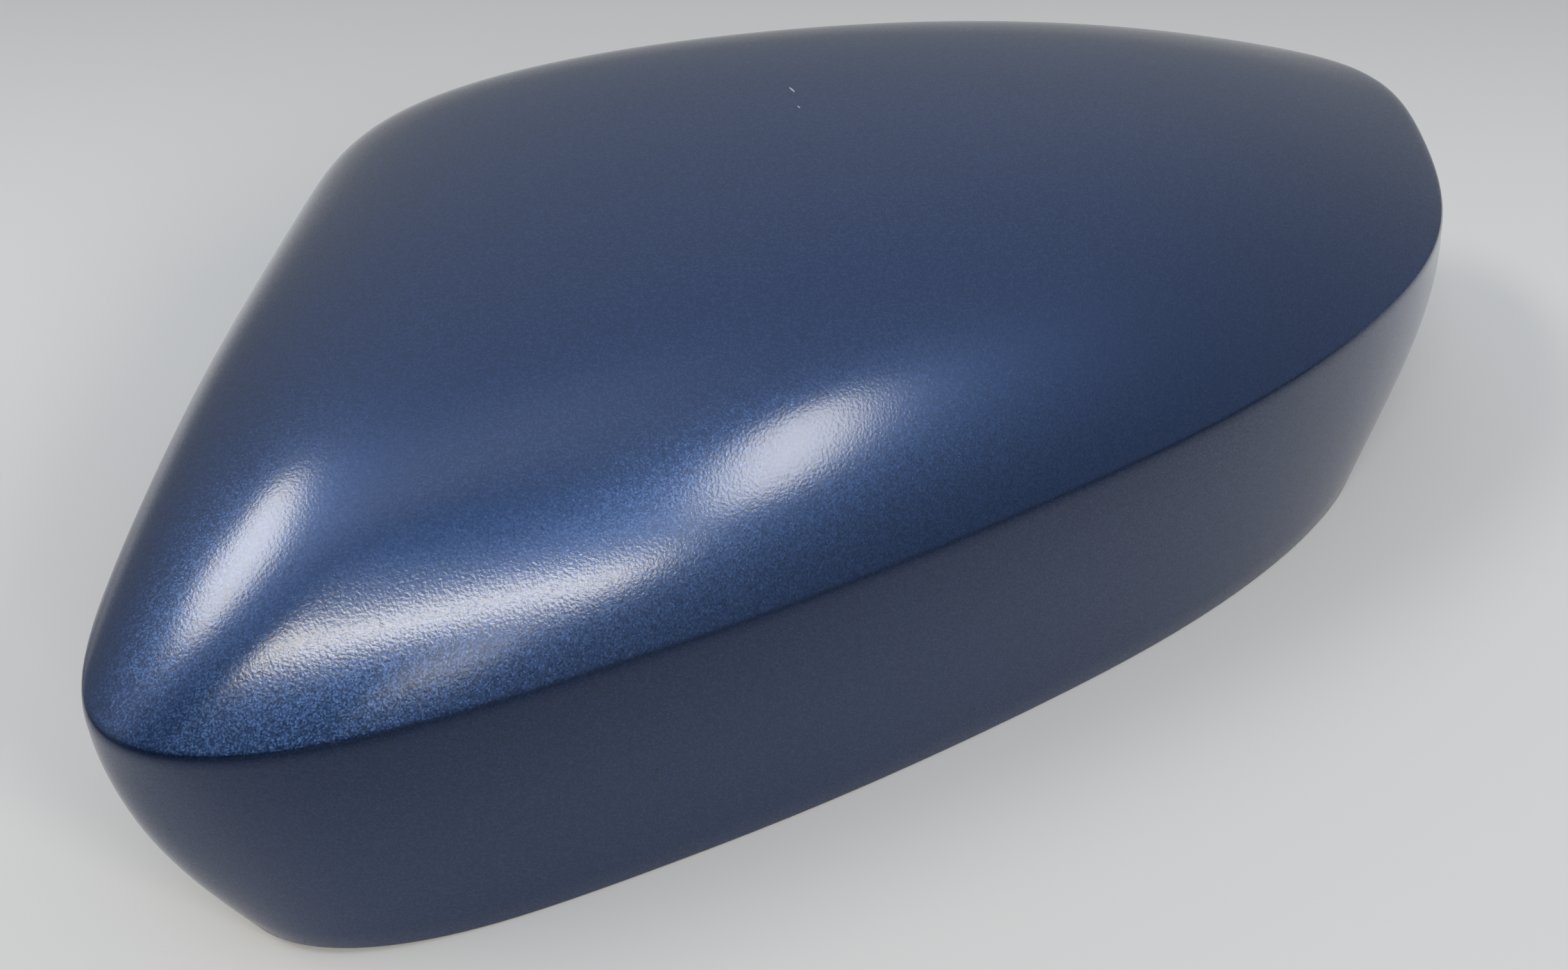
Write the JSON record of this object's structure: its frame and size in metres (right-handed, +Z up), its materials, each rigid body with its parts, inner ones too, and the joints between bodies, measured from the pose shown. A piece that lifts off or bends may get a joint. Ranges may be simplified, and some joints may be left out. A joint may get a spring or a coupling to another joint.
{
  "type": "wing mirror cover",
  "caption": "Moulded clip-on cover for a car's wing mirror: a domed shell with a shoulder crease, open at its rim, with snap hooks and locating pins inside.",
  "frame": {"origin": "middle of the open rim's footprint, on the surface that the rim rests on", "axes": "+X along the cover toward its outer, tapered end, +Y away from the creased side, +Z up through the crown"},
  "size_m": [0.2548, 0.1278, 0.076],
  "materials": {
    "painted_shell": "satin metallic blue paint over moulded plastic"
  },
  "bodies": {
    "root": {"mirror_cover": "painted_shell"}
  },
  "joints": []
}
